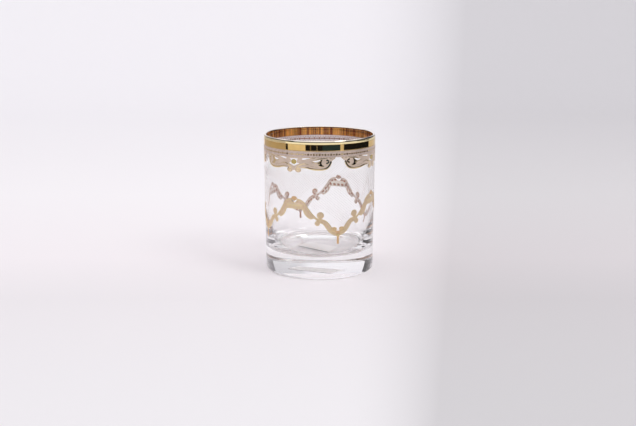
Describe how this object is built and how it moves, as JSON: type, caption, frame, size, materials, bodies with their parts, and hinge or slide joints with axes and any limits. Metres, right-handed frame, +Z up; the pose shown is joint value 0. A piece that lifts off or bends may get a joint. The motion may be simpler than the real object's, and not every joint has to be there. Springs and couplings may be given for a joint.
{
  "type": "tea glass",
  "caption": "Straight-sided clear tea glass with a thick solid base, a gilded lip band and a gold scroll frieze and wavy garland round the wall.",
  "frame": {"origin": "middle of the base, on the plane the glass stands on", "axes": "+Z up along the glass's axis; -Y is the side seen in the picture, where the first print panel is 26 degrees to the left of it"},
  "size_m": [0.0802, 0.0802, 0.098],
  "materials": {
    "clear_glass": "clear polished soda-lime glass",
    "lip_gold": "mirror polished fired gold",
    "polished_gold": "mirror polished fired gold",
    "matte_gold": "matte etched gold, satin",
    "dot_gold": "polished gold dots",
    "frieze_gold": "matte etched gold with polished lines",
    "stud_gold": "satin gold",
    "garland_gold": "matte pale gold, lightly stippled",
    "crown_gold": "satin gold",
    "rosette_gold": "matte pale gold with a raised spiral",
    "scroll_gold": "matte pale gold with raised rings",
    "pendant_gold": "satin gold",
    "label_paper": "plain unprinted paper sticker"
  },
  "bodies": {
    "root": {"glass_tumbler": "clear_glass", "lip_gilding": "lip_gold", "rim_band": "polished_gold", "bead_strip": "matte_gold", "bead_row": "dot_gold", "frieze_panel_1": "frieze_gold", "frieze_panel_2": "frieze_gold", "frieze_panel_3": "frieze_gold", "frieze_panel_4": "frieze_gold", "frieze_stud_1": "stud_gold", "frieze_stud_2": "stud_gold", "frieze_stud_3": "stud_gold", "frieze_stud_4": "stud_gold", "garland_arch_1": "garland_gold", "garland_arch_2": "garland_gold", "garland_arch_3": "garland_gold", "garland_arch_4": "garland_gold", "arch_crown_1": "crown_gold", "arch_crown_2": "crown_gold", "arch_crown_3": "crown_gold", "arch_crown_4": "crown_gold", "rosette_group_1": "rosette_gold", "rosette_group_2": "rosette_gold", "rosette_group_3": "rosette_gold", "rosette_group_4": "rosette_gold", "scroll_knot_1": "scroll_gold", "scroll_knot_2": "scroll_gold", "scroll_knot_3": "scroll_gold", "scroll_knot_4": "scroll_gold", "pendant_1": "pendant_gold", "pendant_2": "pendant_gold", "pendant_3": "pendant_gold", "pendant_4": "pendant_gold", "base_label": "label_paper"}
  },
  "joints": []
}
